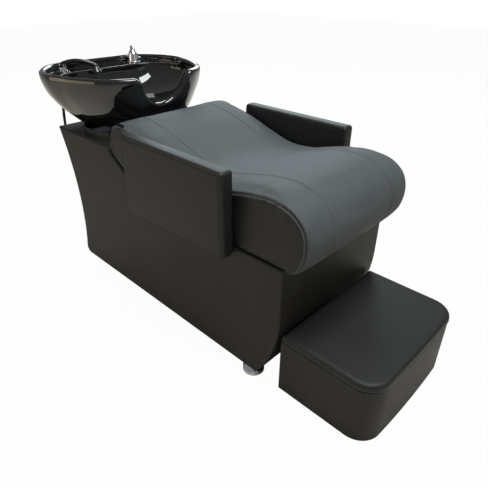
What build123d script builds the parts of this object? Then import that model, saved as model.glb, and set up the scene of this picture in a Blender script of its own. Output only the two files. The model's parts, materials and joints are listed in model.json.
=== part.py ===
from build123d import *
from math import radians, sqrt, tan
import os

# Hair washing bed in millimetres: +X runs from the basin to the footrest, +Z is up, Y is across.
# The drawing origin is the foot of the case's back on the floor; the pieces are written
# about the middle of the whole length.

# Clearances
soft_gap = 0.3
running_gap = 0.05
easy_gap = 0.5
cut_run = 5.0

# Case
case_width = 525.0
panel_t = 18.0
thin_panel_t = 12.0
case_bottom = 24.0
heel_radius = 28.0
back_radius = 849.0
waist_x = -53.0
back_centre_z = 275.0
shelf_front_x = 248.0
shelf_z = 607.0
ramp_x = 266.0
ramp_drop = 26.0
seat_rear_x = 457.0
seat_z = 460.0
case_front_x = 1086.0
front_curve_z = 300.0
toe_x = 998.0
board_t = 18.0
panel_edge_radius = 6.0

# Bottom rails, bulkhead, battens and screws
rail_t = 25.0
rail_h = 40.0
rail_set_in = 51.0
batten_t = 20.0
batten_h = 220.0
screw_head_r = 6.0
screw_head_h = 3.0
screw_r = 2.5
screw_length = 22.0
screw_seat = 2.0
screw_edge = 30.0

# Levelling feet
front_foot_x = 965.0
front_foot_y = 236.0
rear_foot_x = 78.0
rear_foot_y = 186.0
foot_r = 36.0
foot_top_r = 24.0
foot_lip_h = 14.0
stud_r = 6.0
stud_length = 44.0
insert_side = 34.0
insert_h = 30.0

# Cushion
cushion_width = 518.0
cushion_rear_x = 270.0
nose_x = 1164.0
cushion_rise = 98.0
overhang_drop = 3.0
# Places along the cushion and up from the seat board, as shares of length and height: middle line, side line
crown_line_shares = [(0.000, 0.830), (0.012, 0.940), (0.050, 0.998), (0.120, 0.985), (0.240, 0.900),
                     (0.355, 0.765), (0.470, 0.650), (0.580, 0.665), (0.675, 0.745), (0.770, 0.820),
                     (0.860, 0.838), (0.935, 0.780), (0.984, 0.630), (1.000, 0.400), (0.990, 0.180),
                     (0.968, 0.040)]
side_line_shares = [(0.004, 0.800), (0.018, 0.915), (0.064, 0.965), (0.130, 0.935), (0.240, 0.845),
                    (0.355, 0.710), (0.470, 0.605), (0.580, 0.620), (0.675, 0.690), (0.770, 0.768),
                    (0.855, 0.800), (0.925, 0.752), (0.972, 0.620), (0.990, 0.430), (0.982, 0.200),
                    (0.962, 0.060)]
nose_under_share = 0.940
# Places across the cushion and how far the section has risen from side line to middle line there
crown_shares = [(0.00, 1.00), (0.50, 0.98), (0.80, 0.85), (0.94, 0.48), (1.00, 0.00)]

# Armrests
arm_t = 49.0
arm_top_z = 703.0
arm_rear_x = 437.0
arm_front_x = 907.0
arm_low_front_z = 438.0
arm_low_rear_x = 414.0
arm_low_rear_z = 417.0
arm_corner_r = 12.0
arm_edge_r = 7.0
arm_bolt_r = 5.0
arm_bolt_head_r = 9.0
arm_bolt_head_h = 6.0
arm_bolt_depth = 28.0
arm_bolt_pocket = 14.0
arm_bolt_z = 449.0
arm_bolt_xs = (500.0, 670.0, 840.0)

# Blank tab on the cushion's corner
tab_length = 44.0
tab_width = 15.0
tab_h = 3.0
tab_x = 338.0
tab_y = 249.0
tab_tilt = 18.0
tab_sink_share = 0.5

# Footrest
stool_back_x = 1084.0
stool_length = 323.0
stool_width = 494.0
stool_h = 228.0
stool_top_t = 26.0
stool_wall_t = 15.0
stool_corner_r = 72.0
stool_bow = 4.0
stool_lift = 8.0
stool_board_t = 12.0
stool_edge_r = 9.0
glide_r = 14.0
glide_inset = 45.0

# Basin
basin_back_x = -243.0
basin_front_x = 283.0
basin_width = 626.0
basin_lift = 33.0
basin_h = 188.0
deck_drop = 28.0
deck_t = 16.0
rim_t = 22.0
ceramic_t = 14.0
bowl_rear_x = -138.0
floor_rise = 36.0
notch_r = 106.0
notch_centre_drop = 2.0
notch_lip = 90.0
# Plan of the rim: along the length from the back, and out from the middle, as shares
rim_shares = [(0.0, 0.0), (0.0, 0.50), (0.04, 0.70), (0.15, 0.86), (0.25, 0.955), (0.40, 1.0), (0.54, 0.95),
              (0.667, 0.89), (0.85, 0.745), (0.94, 0.59), (1.0, 0.40), (1.0, 0.0)]
# Outside of the basin: height from its low edge to the rim, then rear, front and side draws as shares of its sizes
outside_shares = [(0.00, 0.235, 0.125, 0.69), (0.055, 0.185, 0.105, 0.72), (0.21, 0.125, 0.074, 0.81),
                  (0.40, 0.070, 0.053, 0.895), (0.60, 0.028, 0.028, 0.960), (0.82, 0.004, 0.004, 0.995),
                  (0.96, 0.000, 0.000, 1.000), (1.00, 0.008, 0.008, 0.985)]
# Inside of the bowl: height from its floor to the deck, then rear, front and side draws
inside_shares = [(0.00, 0.29, 0.24, 0.44), (0.10, 0.20, 0.15, 0.64), (0.28, 0.10, 0.08, 0.81),
                 (0.52, 0.04, 0.04, 0.92), (0.76, 0.01, 0.01, 0.985), (1.00, 0.00, 0.00, 1.000)]
cavity_top_share = 0.42

# Deck fittings
deck_x = -180.0
fitting_share = 0.54
fitting_hole_r = 17.0
nut_r = 24.0
nut_h = 9.0
duct_front_x = -152.0
duct_share = 0.677

# Mixer
mixer_ring_r = 30.0
mixer_ring_h = 6.0
mixer_body_r = 25.0
mixer_neck_r = 19.0
mixer_body_h = 32.0
cap_h = 15.0
cap_top_r = 11.0
lever_length = 26.0
lever_w = 13.0
lever_tip_w = 5.0
lever_t = 8.0
lever_lean = 9.0
lever_slot_depth = 12.0
lever_pin_r = 1.6
shank_r = 16.0
shank_length = 46.0
supply_r = 5.0
supply_length = 62.0
outlet_r = 6.0
outlet_length = 24.0
tails_r = 9.5
tails_turn = 60.0
side_plug_r = 6.5
side_plug_length = 12.0

# Spray holder and handset
holder_flange_r = 25.0
holder_flange_h = 5.0
holder_r = 18.0
holder_h = 13.0
holder_bore_r = 10.0
collar_r = 14.0
collar_h = 12.0
plug_r = 9.4
plug_length = 14.0
neck_r = 8.0
neck_socket = 9.0
neck_reach = 130.0
neck_rise = 10.0
neck_apex_share = 0.45
neck_end_drop = 12.0
neck_turn = 57.0
head_r = 21.0
head_h = 24.0
rose_t = 4.0

# Hose
hose_r = 5.5
hose_bore_r = 3.5
hose_grip = 12.0
bend_share = 0.45
ferrule_r = 8.0
ferrule_length = 26.0
hose_drop = 24.0
# Bends of the hose below its two ends: out from the middle as shares of the fittings' distance, and up from
# the floor as shares of the deck's height
hose_bend_shares = [(-1.041, 0.9100), (-1.171, 0.8525), (-1.219, 0.7625), (-1.231, 0.6562), (-1.136, 0.5312),
                    (-0.876, 0.4188), (-0.402, 0.3475), (0.154, 0.3350), (0.627, 0.3900), (0.864, 0.4875),
                    (0.929, 0.6062), (0.893, 0.7250), (0.899, 0.8187)]

# Waste
waste_x = 75.0
waste_hole_r = 25.0
waste_flange_r = 34.0
waste_flange_t = 3.0
waste_r = 23.0
waste_bore_r = 19.0
waste_nut_r = 33.0
waste_nut_h = 8.0
waste_length = 52.0
tail_r = 20.0
tail_bore_r = 17.0
tail_length = 90.0
strainer_r = 18.0
strainer_h = 9.0
strainer_wall = 1.6
strainer_hole_r = 2.2
strainer_holes = 8

# Basin mount
collar_rear_x = -38.0
collar_front_x = 236.0
collar_width = 460.0
collar_corner_r = 95.0
collar_wall_h = 23.0
collar_wall = 4.0
pivot_x = -5.0
pivot_rise = 19.0
axle_r = 8.0
ear_y = 78.0
ear_t = 8.0
ear_r = 14.0
hub_r = 12.0
hub_y = 62.0
hub_t = 12.0
bracket_t = 4.0
bracket_length = 56.0
bracket_width = 224.0
bracket_bolt_r = 4.0
bracket_bolt_head_r = 7.5
bracket_bolt_head_h = 5.0
bracket_bolt_in = 12.0
cradle_t = 6.0
cradle_rear_x = -33.0
cradle_front_x = 176.0
cradle_width = 250.0
pad_t = 4.0
pad_r = 13.0
pad_in = 18.0
cradle_bolt_r = 3.0
cradle_bolt_head_r = 6.0
cradle_bolt_head_h = 4.0
cradle_bolt_bite = 7.0

middle_x = (basin_back_x + stool_back_x + stool_length) / 2
half_case = case_width / 2
inner_half = half_case - panel_t
basin_half = basin_width / 2
back_centre_x = waist_x - back_radius
ramp_z = shelf_z - ramp_drop
cushion_top_z = shelf_z + cushion_rise
basin_low_z = shelf_z + basin_lift
rim_z = basin_low_z + basin_h
deck_z = rim_z - deck_drop
bowl_floor_z = basin_low_z + floor_rise
fitting_y = basin_half * fitting_share
duct_half_width = basin_half * duct_share
collar_top_z = shelf_z + collar_wall_h
pivot_z = shelf_z + pivot_rise


def back_x(z):
    return back_centre_x + sqrt(back_radius**2 - (z - back_centre_z)**2)


shelf_rear_x = back_x(shelf_z)
heel_x = back_x(case_bottom)
rail_rear_x = heel_x + rail_set_in


def block(x0, x1, y0, y1, z0, z1):
    return Pos((x0 + x1) / 2, (y0 + y1) / 2, (z0 + z1) / 2) * Box(x1 - x0, y1 - y0, z1 - z0)


def upright(radius, x, y, z0, z1):
    return Pos(x, y, (z0 + z1) / 2) * Cylinder(radius, z1 - z0)


def taper(low_r, top_r, x, y, z0, z1):
    return Pos(x, y, (z0 + z1) / 2) * Cone(low_r, top_r, z1 - z0)


def crosswise(radius, x, z, y0, y1):
    return Pos(x, (y0 + y1) / 2, z) * Rot(90, 0, 0) * Cylinder(radius, y1 - y0)


def lengthwise(radius, y, z, x0, x1):
    return Pos((x0 + x1) / 2, y, z) * Rot(0, 90, 0) * Cylinder(radius, x1 - x0)


def across(outline, y0, y1):
    return extrude(Plane.XZ.offset(-y0) * outline, amount=y1 - y0, dir=(0, 1, 0))


def save(name, shape):
    placed = Pos(-middle_x, 0, 0) * shape
    export_step(placed, f"parts/{name}.step")


def group(pieces):
    return Part() + pieces


def closed(pieces):
    return make_face(Wire([edge for piece in pieces for edge in piece.edges()]))


# Case
def case_outline():
    waist = (waist_x, back_centre_z)
    edges = [
        Line((heel_x, case_bottom), (toe_x, case_bottom)),
        TangentArc((case_front_x, front_curve_z), (toe_x, case_bottom), tangent=(0, -1)),
        Polyline((case_front_x, front_curve_z), (case_front_x, seat_z), (seat_rear_x, seat_z), (ramp_x, ramp_z),
                 (shelf_front_x, shelf_z), (shelf_rear_x, shelf_z)),
        ThreePointArc((shelf_rear_x, shelf_z), waist, (heel_x, case_bottom)),
    ]
    face = closed(edges)
    heel = face.vertices().sort_by(Axis.Y)[:2].sort_by(Axis.X)[0]
    return fillet(heel, heel_radius)


outline = case_outline()
between = block(shelf_rear_x - cut_run, case_front_x + cut_run, -inner_half, inner_half, case_bottom, shelf_z)


def side_panel(side):
    panel = across(outline, inner_half, half_case)
    outer = panel.faces().sort_by(Axis.Y)[-1]
    panel = fillet(outer.edges(), panel_edge_radius)
    for x in arm_bolt_xs:
        panel -= crosswise(arm_bolt_r, x, arm_bolt_z, inner_half - cut_run, half_case + cut_run)
    return panel if side > 0 else mirror(panel, Plane.XZ)


def rear_panel():
    band = outline - Pos(thin_panel_t, 0) * outline
    panel = across(band, -inner_half, inner_half)
    panel &= block(shelf_rear_x - cut_run, rail_rear_x, -inner_half, inner_half, case_bottom, shelf_z - board_t)
    for y, z in screw_places():
        seat_x = back_x(z) + screw_seat
        panel -= lengthwise(screw_head_r, y, z, seat_x - screw_head_h - cut_run, seat_x)
        panel -= lengthwise(screw_r, y, z, seat_x, seat_x + screw_length)
    return panel


def screw_places():
    for y in (-inner_half + batten_t / 2, inner_half - batten_t / 2):
        for z in (batten_foot + screw_edge, batten_foot + batten_h - screw_edge):
            yield y, z


batten_foot = case_bottom + rail_h


def batten(side):
    band = Pos(thin_panel_t, 0) * outline - Pos(thin_panel_t + batten_t, 0) * outline
    piece = across(band, inner_half - batten_t, inner_half)
    piece &= block(heel_x, bulkhead_x, -inner_half, inner_half, batten_foot, batten_foot + batten_h)
    for y, z in screw_places():
        piece -= lengthwise(screw_r, y, z, back_x(z), back_x(z) + screw_seat + screw_length)
    return piece if side > 0 else mirror(piece, Plane.XZ)


def rear_screws():
    pieces = []
    for y, z in screw_places():
        seat_x = back_x(z) + screw_seat
        head = lengthwise(screw_head_r, y, z, seat_x - screw_head_h, seat_x)
        pieces.append(head + lengthwise(screw_r, y, z, seat_x - screw_head_h, seat_x + screw_length))
    return group(pieces)


def front_panel():
    band = outline - Pos(-thin_panel_t, 0) * outline
    ahead = block(rail_front_x, case_front_x + cut_run, -inner_half, inner_half, case_bottom, seat_z)
    return across(band, -inner_half, inner_half) & ahead


def basin_shelf():
    top = block(shelf_rear_x - cut_run, shelf_front_x, -inner_half, inner_half, shelf_z - board_t, shelf_z)
    board = across(outline, -inner_half, inner_half) & top
    slot_x0 = waste_x - tail_r - cut_run
    slot_x1 = waste_x + tail_r + cut_run + (shelf_z - tail_low_z) / 2
    slot_half = tail_r + cut_run
    board -= block(slot_x0, slot_x1, -slot_half, slot_half, shelf_z - board_t - cut_run, shelf_z + cut_run)
    for x, y in bracket_bolt_places():
        board -= upright(bracket_bolt_r, x, y, shelf_z - board_t - cut_run, shelf_z + cut_run)
    return board


def backrest_board():
    corners = [(shelf_front_x, shelf_z), (ramp_x, ramp_z), (seat_rear_x, seat_z), (seat_rear_x, seat_z - board_t),
               (ramp_x, ramp_z - board_t), (shelf_front_x, shelf_z - board_t)]
    return across(make_face(Polyline(*corners, close=True)), -inner_half, inner_half)


def seat_board():
    low_z = seat_z - board_t
    board = block(seat_rear_x, case_front_x - thin_panel_t, -inner_half, inner_half, low_z, seat_z)
    for x in arm_bolt_xs:
        pocket = crosswise(arm_bolt_pocket, x, arm_bolt_z, inner_half - arm_bolt_pocket, inner_half)
        pocket &= block(x - arm_bolt_pocket, x + arm_bolt_pocket, 0, inner_half, low_z - cut_run,
                        arm_bolt_z + arm_bolt_head_r)
        board -= pocket
        board -= mirror(pocket, Plane.XZ)
    return board


bulkhead_x = seat_rear_x


def bulkhead():
    return block(bulkhead_x, bulkhead_x + board_t, -inner_half, inner_half, case_bottom + rail_h, seat_z - board_t)


rail_front_x = toe_x - thin_panel_t - cut_run


def side_rail(side):
    rail = block(rail_rear_x, rail_front_x, inner_half - rail_t, inner_half, case_bottom, case_bottom + rail_h)
    x0 = front_foot_x - insert_side / 2
    rail -= block(x0, x0 + insert_side, front_foot_y - insert_side / 2, inner_half, case_bottom,
                  case_bottom + insert_h)
    return rail if side > 0 else mirror(rail, Plane.XZ)


def cross_rail(x0):
    return block(x0, x0 + rail_t, rail_t - inner_half, inner_half - rail_t, case_bottom, case_bottom + rail_h)


def foot_places():
    return {
        "front_near": (front_foot_x, -front_foot_y),
        "front_far": (front_foot_x, front_foot_y),
        "rear_near": (rear_foot_x, -rear_foot_y),
        "rear_far": (rear_foot_x, rear_foot_y),
    }


def foot_inserts():
    pieces = []
    half = insert_side / 2
    for name, (x, y) in foot_places().items():
        low_y, high_y = (y - half, y + half)
        if name.startswith("front"):
            low_y, high_y = (max(low_y, -inner_half), min(high_y, inner_half))
        front = min(x + half, toe_x - thin_panel_t)
        body = block(x - half, front, low_y, high_y, case_bottom, case_bottom + insert_h)
        if name.startswith("rear"):
            edge = inner_half - rail_t
            tie = block(rail_rear_x + rail_t, x - half, low_y, high_y, case_bottom, case_bottom + insert_h)
            bridge = block(rail_rear_x + rail_t, x + half, min(abs(y) + half, edge), edge, case_bottom,
                           case_bottom + insert_h)
            body += tie
            body += bridge if y > 0 else mirror(bridge, Plane.XZ)
        pieces.append(body - upright(stud_r + running_gap, x, y, case_bottom - cut_run,
                                     case_bottom + insert_h + cut_run))
    return group(pieces)


# Feet
def foot_cup(x, y):
    top = case_bottom - soft_gap
    profile = make_face(Polyline((0, 0), (foot_r - easy_gap, 0), (foot_r, easy_gap), (foot_r, foot_lip_h),
                                 (foot_top_r, top), (0, top), close=True))
    cup = Pos(x, y, 0) * revolve(Plane.XZ * profile, Axis.Z)
    return cup - upright(stud_r, x, y, foot_lip_h / 2, case_bottom)


def foot_stud(x, y):
    return upright(stud_r, x, y, foot_lip_h / 2, foot_lip_h / 2 + stud_length)


# Cushion
def cushion_section(y, risen):
    length = nose_x - cushion_rear_x
    height = cushion_top_z - seat_z
    top = []
    for (side_t, side_h), (mid_t, mid_h) in zip(side_line_shares, crown_line_shares):
        t = side_t + (mid_t - side_t) * risen
        h = side_h + (mid_h - side_h) * risen
        top.append((cushion_rear_x + t * length, seat_z + h * height))
    floor_z = seat_z + soft_gap
    rear_low = (shelf_front_x + soft_gap + easy_gap, shelf_z + soft_gap)
    under = (cushion_rear_x + nose_under_share * length, floor_z - overhang_drop)
    edges = [
        Line(rear_low, (ramp_x + soft_gap, ramp_z + soft_gap)),
        Line((ramp_x + soft_gap, ramp_z + soft_gap), (seat_rear_x, floor_z)),
        Line((seat_rear_x, floor_z), (case_front_x, floor_z)),
        Line((case_front_x, floor_z), under),
        Line(under, top[-1]),
        Spline(*reversed(top)),
        Line(top[0], rear_low),
    ]
    return Plane.XZ.offset(-y) * closed(edges)


def seat_cushion():
    half = cushion_width / 2
    places = [(-share * half, risen) for share, risen in reversed(crown_shares)]
    places += [(share * half, risen) for share, risen in crown_shares[1:]]
    return loft([cushion_section(y, risen) for y, risen in places])


def corner_tab(cushion):
    plumb = cushion & Line((tab_x, -tab_y, seat_z), (tab_x, -tab_y, cushion_top_z + cut_run))
    top_z = max(corner.Z for corner in plumb.vertices())
    flat = extrude(SlotOverall(tab_length, tab_width), amount=tab_h)
    return Pos(tab_x, -tab_y, top_z) * Rot(tab_tilt, 0, 0) * Pos(0, 0, -tab_h * tab_sink_share) * flat


# Armrests
def armrest(side):
    corners = Polyline((arm_rear_x, arm_top_z), (arm_front_x, arm_top_z), (arm_front_x, arm_low_front_z),
                       (arm_low_rear_x, arm_low_rear_z), close=True)
    face = make_face(corners)
    face = fillet(face.vertices(), arm_corner_r)
    slab = across(face, half_case, half_case + arm_t)
    faces = slab.faces().sort_by(Axis.Y)
    slab = fillet(faces[0].edges() + faces[-1].edges(), arm_edge_r)
    for x in arm_bolt_xs:
        slab -= crosswise(arm_bolt_r, x, arm_bolt_z, half_case - cut_run, half_case + arm_bolt_depth)
    return slab if side > 0 else mirror(slab, Plane.XZ)


def arm_bolts():
    pieces = []
    for x in arm_bolt_xs:
        low = inner_half - arm_bolt_head_h
        bolt = crosswise(arm_bolt_head_r - easy_gap, x, arm_bolt_z, low, inner_half)
        bolt += crosswise(arm_bolt_r, x, arm_bolt_z, low, half_case + arm_bolt_depth)
        pieces += [bolt, mirror(bolt, Plane.XZ)]
    return group(pieces)


# Footrest
def stool_outline(inset):
    back = stool_back_x + inset
    front = stool_back_x + stool_length - inset
    half = stool_width / 2 - inset
    radius = stool_corner_r - inset
    bowed = front - stool_bow
    right = [Line((back, half), (bowed - radius, half)),
             TangentArc((bowed - radius, half), (bowed, half - radius), tangent=(1, 0))]
    left = [mirror(edge, Plane.XZ) for edge in right]
    nose = ThreePointArc((bowed, half - radius), (front, 0), (bowed, radius - half))
    return closed([*right, *left, nose, Line((back, half), (back, -half))])


stool_seam_z = stool_h - stool_top_t


def stool_walls():
    ring = stool_outline(0) - stool_outline(stool_wall_t)
    return extrude(Plane.XY.offset(stool_lift) * ring, amount=stool_seam_z - stool_lift)


def stool_bottom():
    return extrude(Plane.XY.offset(stool_lift) * stool_outline(stool_wall_t), amount=stool_board_t)


def stool_top():
    pad = extrude(Plane.XY.offset(stool_seam_z) * stool_outline(0), amount=stool_top_t)
    return fillet(pad.faces().sort_by(Axis.Z)[-1].edges(), stool_edge_r)


def stool_glides():
    pieces = []
    for x in (stool_back_x + glide_inset, stool_back_x + stool_length - glide_inset - stool_bow):
        for y in (-stool_width / 2 + glide_inset + glide_r, stool_width / 2 - glide_inset - glide_r):
            pieces.append(upright(glide_r, x, y, 0, stool_lift))
    return group(pieces)


# Basin
def basin_plan(rear, front, half):
    right = [(rear + t * (front - rear), w * half) for t, w in rim_shares]
    left = [(x, -y) for x, y in right]
    right_edge = Spline(*right, tangents=((0, 1), (0, -1)))
    left_edge = Spline(*left, tangents=((0, -1), (0, 1)))
    return closed([right_edge, left_edge])


def basin_stack(shares, low_z, top_z, rear, front, half, grow):
    length = front - rear
    levels = []
    for share, rear_draw, front_draw, side_draw in shares:
        level = basin_plan(rear + rear_draw * length - grow, front - front_draw * length + grow,
                           half * side_draw + grow)
        levels.append(Plane.XY.offset(low_z + share * (top_z - low_z)) * level)
    return loft(levels)


def basin_outside(grow):
    return basin_stack(outside_shares, basin_low_z, rim_z, basin_back_x, basin_front_x, basin_half, grow)


def bowl_inside(grow):
    return basin_stack(inside_shares, bowl_floor_z - grow, deck_z - grow, bowl_rear_x, basin_front_x - rim_t,
                       basin_half - rim_t, grow)


def basin_bowl():
    recess = Plane.XY.offset(deck_z) * basin_plan(basin_back_x + rim_t, basin_front_x - rim_t, basin_half - rim_t)
    ceramic = basin_outside(0) - extrude(recess, amount=rim_z - deck_z + cut_run) - bowl_inside(0)
    cavity_top = basin_low_z + cavity_top_share * (rim_z - basin_low_z)
    slab = block(basin_back_x, basin_front_x, -basin_half, basin_half, basin_low_z - cut_run, cavity_top)
    ceramic -= (basin_outside(-ceramic_t) & slab) - bowl_inside(ceramic_t)
    duct_rear = basin_back_x + ceramic_t + cut_run
    duct = block(duct_rear, duct_front_x, -duct_half_width, duct_half_width, basin_low_z - cut_run,
                 deck_z - deck_t)
    ceramic -= duct
    notch = lengthwise(notch_r, 0, rim_z - notch_centre_drop, basin_front_x - notch_lip, basin_front_x + cut_run)
    ceramic -= notch
    for side in (-1, 1):
        ceramic -= upright(fitting_hole_r, deck_x, side * fitting_y, deck_z - deck_t - cut_run, deck_z + cut_run)
    ceramic -= upright(waste_hole_r, waste_x, 0, basin_low_z, bowl_floor_z + cut_run)
    for x, y in pad_places():
        ceramic -= upright(cradle_bolt_r, x, y, skin_z - cut_run, skin_z + cradle_bolt_bite)
    return ceramic


skin_z = bowl_floor_z - ceramic_t
tail_low_z = skin_z - waste_length - tail_length / 2


# Basin mount
def shelf_collar():
    def ring(inset):
        length = collar_front_x - collar_rear_x - 2 * inset
        flat = RectangleRounded(length, collar_width - 2 * inset, collar_corner_r - inset)
        return Pos((collar_front_x + collar_rear_x) / 2, 0) * flat
    wall = extrude(Plane.XY.offset(shelf_z) * (ring(0) - ring(collar_wall)), amount=collar_top_z - shelf_z)
    return wall


def bracket_bolt_places():
    for x in (pivot_x - bracket_length / 2 + bracket_bolt_in, pivot_x + bracket_length / 2 - bracket_bolt_in):
        for y in (-bracket_width / 2 + bracket_bolt_in, bracket_width / 2 - bracket_bolt_in):
            yield x, y


def pivot_bracket():
    half_length = bracket_length / 2
    plate_top = shelf_z + bracket_t
    plate = block(pivot_x - half_length, pivot_x + half_length, -bracket_width / 2, bracket_width / 2, shelf_z,
                  plate_top)
    for side in (-1, 1):
        y0 = side * ear_y - ear_t / 2
        ear = crosswise(ear_r, pivot_x, pivot_z, y0, y0 + ear_t)
        ear += block(pivot_x - ear_r, pivot_x + ear_r, y0, y0 + ear_t, plate_top, pivot_z)
        plate += ear
    plate -= crosswise(axle_r, pivot_x, pivot_z, -ear_y - ear_t, ear_y + ear_t)
    for x, y in bracket_bolt_places():
        plate -= upright(bracket_bolt_r, x, y, shelf_z - cut_run, plate_top + cut_run)
    return plate


def bracket_bolts():
    plate_top = shelf_z + bracket_t
    pieces = []
    for x, y in bracket_bolt_places():
        head = upright(bracket_bolt_head_r, x, y, plate_top, plate_top + bracket_bolt_head_h)
        pieces.append(head + upright(bracket_bolt_r, x, y, shelf_z - board_t, plate_top))
    return group(pieces)


def tilt_axle():
    reach = ear_y + ear_t
    axle = crosswise(axle_r, pivot_x, pivot_z, -reach, reach)
    return axle


cradle_top_z = skin_z - pad_t
cradle_low_z = cradle_top_z - cradle_t


def pad_places():
    half = cradle_width / 2 - pad_in
    for x in (cradle_rear_x + pad_in, cradle_front_x - pad_in):
        for y in (-half, half):
            yield x, y


def basin_cradle():
    plate = block(cradle_rear_x, cradle_front_x, -cradle_width / 2, cradle_width / 2, cradle_low_z, cradle_top_z)
    plate -= upright(waste_nut_r + cut_run, waste_x, 0, cradle_low_z - cut_run, cradle_top_z + cut_run)
    for side in (-1, 1):
        y0 = side * hub_y - hub_t / 2
        web = crosswise(hub_r, pivot_x, pivot_z, y0, y0 + hub_t)
        web += block(pivot_x - hub_r, pivot_x + hub_r, y0, y0 + hub_t, pivot_z, cradle_low_z)
        plate += web
    plate -= crosswise(axle_r + running_gap, pivot_x, pivot_z, -hub_y - hub_t, hub_y + hub_t)
    for x, y in pad_places():
        plate -= upright(cradle_bolt_r, x, y, cradle_low_z - cut_run, cradle_top_z + cut_run)
    return plate


def cradle_pads():
    pads = []
    for x, y in pad_places():
        pads.append(upright(pad_r, x, y, cradle_top_z, skin_z)
                    - upright(cradle_bolt_r, x, y, cradle_top_z - cut_run, skin_z + cut_run))
    return group(pads)


def cradle_bolts():
    bolts = []
    for x, y in pad_places():
        head = upright(cradle_bolt_head_r, x, y, cradle_low_z - cradle_bolt_head_h, cradle_low_z)
        bolts.append(head + upright(cradle_bolt_r, x, y, cradle_low_z, skin_z + cradle_bolt_bite))
    return group(bolts)


# Waste
def waste_flange():
    top = bowl_floor_z + waste_flange_t
    body = upright(waste_flange_r, waste_x, 0, bowl_floor_z, top)
    body += upright(waste_r, waste_x, 0, skin_z - waste_length / 2, top)
    return body - upright(waste_bore_r, waste_x, 0, skin_z - waste_length, top + cut_run)


def waste_nut():
    nut = upright(waste_nut_r, waste_x, 0, skin_z - waste_nut_h, skin_z)
    return nut - upright(waste_r, waste_x, 0, skin_z - waste_nut_h - cut_run, skin_z + cut_run)


def waste_tail():
    joint_z = skin_z - waste_length / 2
    sleeve = upright(waste_r, waste_x, 0, joint_z - cut_run, joint_z)
    tail = sleeve + upright(tail_r, waste_x, 0, tail_low_z, joint_z)
    return tail - upright(tail_bore_r, waste_x, 0, tail_low_z - cut_run, joint_z + cut_run)


def hair_strainer():
    seat = bowl_floor_z + waste_flange_t
    rim_r = (waste_flange_r + waste_bore_r) / 2
    cup = upright(rim_r, waste_x, 0, seat, seat + strainer_wall)
    cup += upright(strainer_r, waste_x, 0, seat - strainer_h, seat)
    cup -= upright(strainer_r - strainer_wall, waste_x, 0, seat - strainer_h + strainer_wall, seat + cut_run)
    low = seat - strainer_h
    ring = PolarLocations((strainer_r - strainer_wall) / 2, strainer_holes)
    for place in ring:
        cup -= Pos(waste_x, 0, low) * place * Cylinder(strainer_hole_r, strainer_h)
    return cup - upright(strainer_hole_r, waste_x, 0, low - cut_run, low + strainer_wall + cut_run)


# Mixer
ring_top_z = deck_z + mixer_ring_h
body_top_z = ring_top_z + mixer_body_h
cap_top_z = body_top_z + cap_h
under_deck_z = deck_z - deck_t


def mixer_ring():
    ring = upright(mixer_ring_r, deck_x, fitting_y, deck_z, ring_top_z)
    ring = fillet(ring.faces().sort_by(Axis.Z)[-1].edges(), mixer_ring_h / 3)
    return ring - upright(shank_r, deck_x, fitting_y, deck_z - cut_run, ring_top_z + cut_run)


def mixer_body():
    body = taper(mixer_body_r, mixer_neck_r, deck_x, fitting_y, ring_top_z, body_top_z)
    body += upright(shank_r, deck_x, fitting_y, ring_top_z - shank_length, ring_top_z)
    plug_z = ring_top_z + side_plug_r + easy_gap
    body += crosswise(side_plug_r, deck_x, plug_z, fitting_y, fitting_y + mixer_body_r + side_plug_length)
    return body


def nut(y):
    ring = upright(nut_r, deck_x, y, under_deck_z - nut_h, under_deck_z)
    return ring - upright(shank_r, deck_x, y, under_deck_z - nut_h - cut_run, deck_z)


def deck_nuts():
    return group([nut(fitting_y), nut(-fitting_y)])


shank_low_z = ring_top_z - shank_length


def supply_tail(turn):
    out = Vector(0, tails_r, 0).rotate(Axis.Z, turn)
    return upright(supply_r, deck_x + out.X, fitting_y + out.Y, shank_low_z - supply_length, shank_low_z)


outlet_y = fitting_y - tails_r
outlet_low_z = shank_low_z - outlet_length


def hose_outlet():
    tube = upright(outlet_r, deck_x, outlet_y, outlet_low_z, shank_low_z)
    return tube + upright(hose_bore_r, deck_x, outlet_y, outlet_low_z - hose_grip, outlet_low_z)


def mixer_cap():
    low = body_top_z + soft_gap
    dome = taper(mixer_neck_r, cap_top_r, deck_x, fitting_y, low, cap_top_z)
    half = lever_t / 2 + running_gap
    slot = block(deck_x - mixer_neck_r, deck_x + mixer_neck_r, fitting_y - half, fitting_y + half,
                 cap_top_z - lever_slot_depth, cap_top_z + cut_run)
    dome -= slot
    return dome - crosswise(lever_pin_r, deck_x, lever_pin_z, fitting_y - mixer_neck_r, fitting_y + mixer_neck_r)


lever_pin_z = cap_top_z - lever_slot_depth / 2


def lever_pin():
    reach = (cap_top_r + mixer_neck_r) / 2 - easy_gap
    return crosswise(lever_pin_r, deck_x, lever_pin_z, fitting_y - reach, fitting_y + reach)


def mixer_lever():
    half = lever_w / 2
    tip = lever_tip_w / 2
    low = cap_top_z - lever_slot_depth + easy_gap + easy_gap
    high = low + lever_length
    corners = [(deck_x - half, lever_pin_z), (deck_x - half - lever_lean / 2, cap_top_z),
               (deck_x - tip - lever_lean, high), (deck_x + tip - lever_lean, high), (deck_x + half, lever_pin_z)]
    blade = make_face(Polyline(*corners, close=True)) + Pos(deck_x, lever_pin_z) * Circle(half - tip)
    lever = across(blade, fitting_y - lever_t / 2, fitting_y + lever_t / 2)
    return lever - crosswise(lever_pin_r + running_gap, deck_x, lever_pin_z, fitting_y - lever_t,
                             fitting_y + lever_t)


# Spray holder and handset
holder_top_z = deck_z + holder_flange_h + holder_h


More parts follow.
